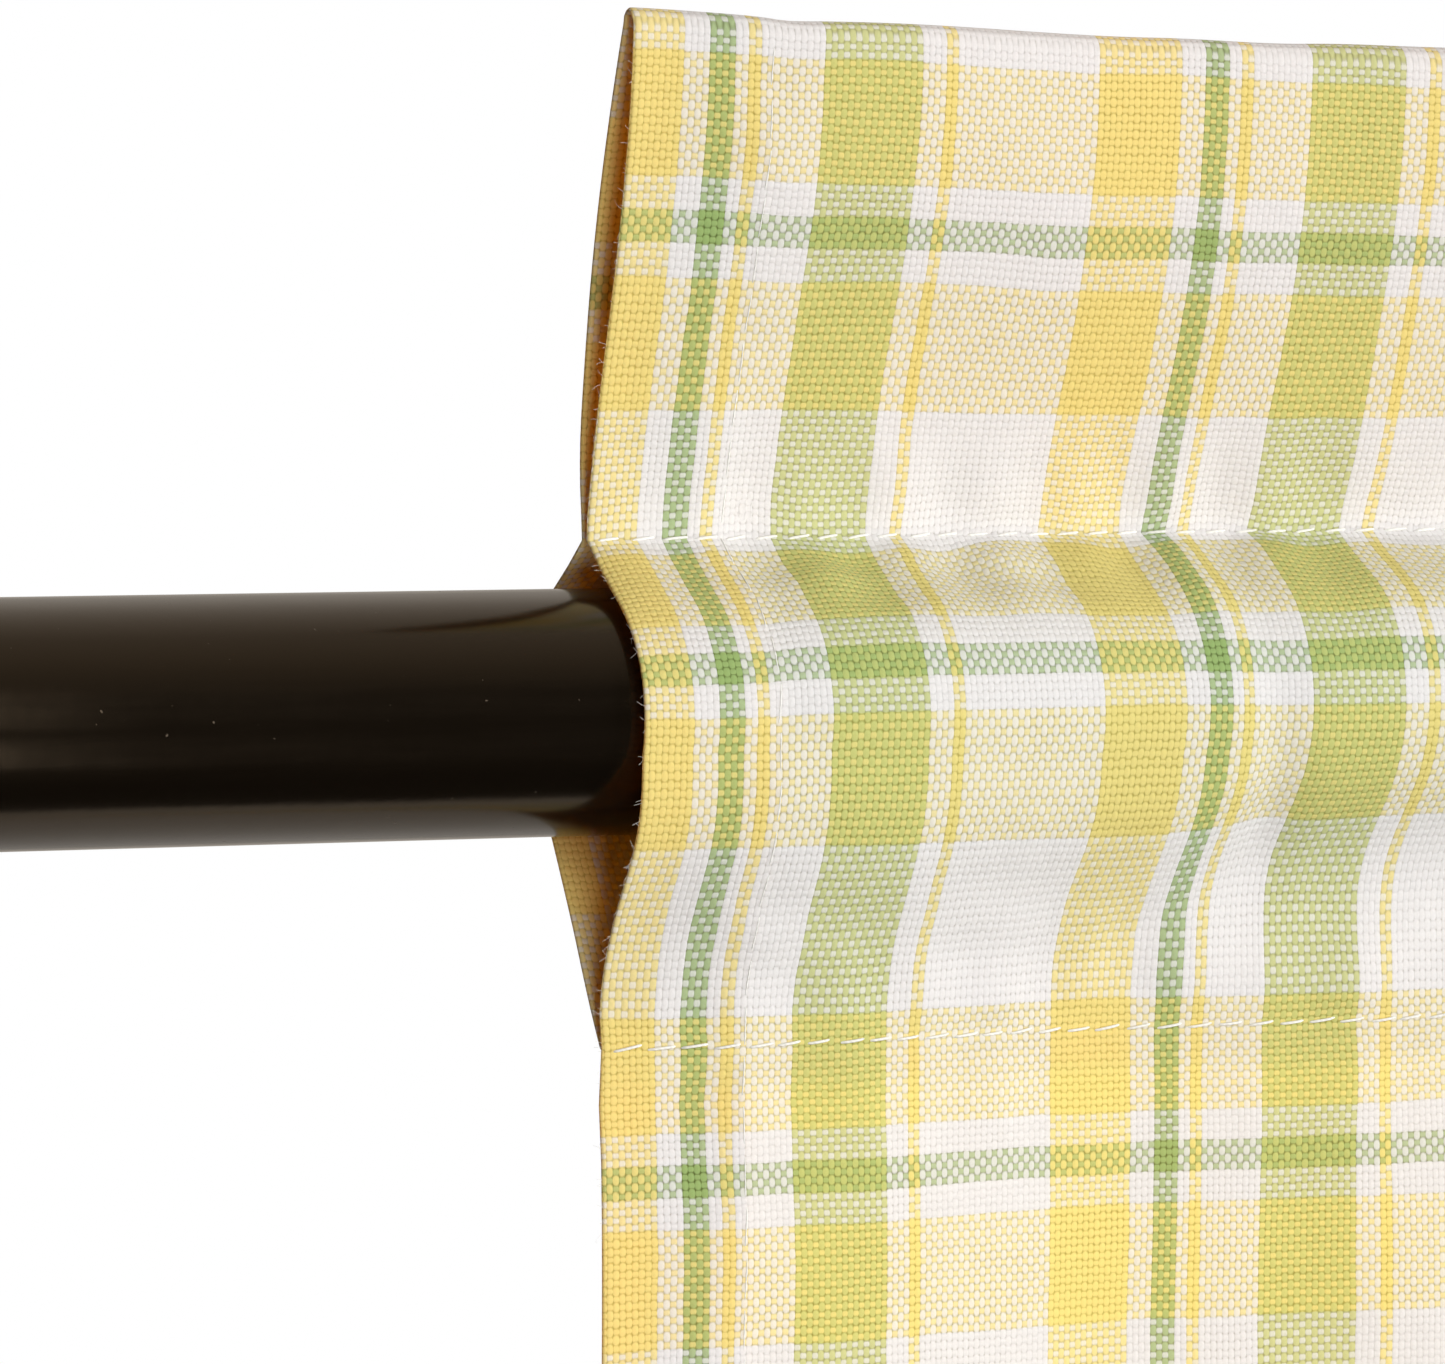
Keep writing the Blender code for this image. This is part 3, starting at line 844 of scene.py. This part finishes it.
def floor_sheet(finish):
    points = [(-3, -0.2, -1.6), (3, -0.2, -1.6), (3, 3.2, -1.6), (-3, 3.2, -1.6)]
    mesh = bpy.data.meshes.new("floor")
    mesh.from_pydata(points, [], [(0, 1, 2, 3)])
    mesh.materials.append(finish)
    made = bpy.data.objects.new("floor", mesh)
    bpy.context.scene.collection.objects.link(made)


def photo_camera():
    """Stands to the front left of the cloth's left edge, a little above the rod."""
    data = bpy.data.cameras.new("camera")
    made = bpy.data.objects.new("camera", data)
    bpy.context.scene.collection.objects.link(made)
    turn, tilt = math.radians(26.0), math.radians(2.33)
    look = Vector((math.sin(turn) * math.cos(tilt), math.cos(turn) * math.cos(tilt), -math.sin(tilt)))
    made.location = (-1.29757, -0.85472, 0.04151)
    made.rotation_euler = look.to_track_quat("-Z", "Y").to_euler()
    data.sensor_width = 36.0
    data.lens = 36.0 * 9208 / 1445
    data.clip_start = 0.01
    data.clip_end = 30
    bpy.context.scene.camera = made


thread = sewing_thread()
grid = cloth_grid()
sheet = cloth(grid, plaid_cotton())
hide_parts("valance_cloth")

surface = Surface(grid)
PAST = FLAT_WIDTH - 0.8
SEAM_UP, SEAM_LOW = HEADER_HEIGHT, HEADER_HEIGHT + POCKET_HEIGHT
pocket_lines = [
    ((0.8, SEAM_UP), (PAST, SEAM_UP), 0.01),
    ((0.8, SEAM_LOW), (PAST, SEAM_LOW), 0.10),
    ((0.8, -SEAM_UP), (PAST, -SEAM_UP), 0.06),
    ((0.8, -SEAM_LOW + 1.0), (PAST, -SEAM_LOW + 1.0), 0.10),
]
hem_at = SIDE_HEM - 0.6
hem_lines = [
    ((hem_at, 3), (hem_at, FLAT_HEIGHT - 2), 0.01),
    ((FLAT_WIDTH - hem_at, 3), (FLAT_WIDTH - hem_at, FLAT_HEIGHT - 2), 0.01),
    ((2, FLAT_HEIGHT - BOTTOM_HEM + 2), (FLAT_WIDTH - 2, FLAT_HEIGHT - BOTTOM_HEM + 2), 0.01),
]
pocket_stitches = sewn("pocket_stitching", surface, pocket_lines, 3.65, 0.85, 0.155, -0.35, 0.14, thread)
hem_stitches = sewn("hem_stitching", surface, hem_lines, 5.2, 1.2, 0.07, 0.15, 0.03, thread)
fibres = loose_fibres(surface, thread)
curtain_rod(black_gloss())

floor_sheet(pale_floor())
studio()
photo_camera()
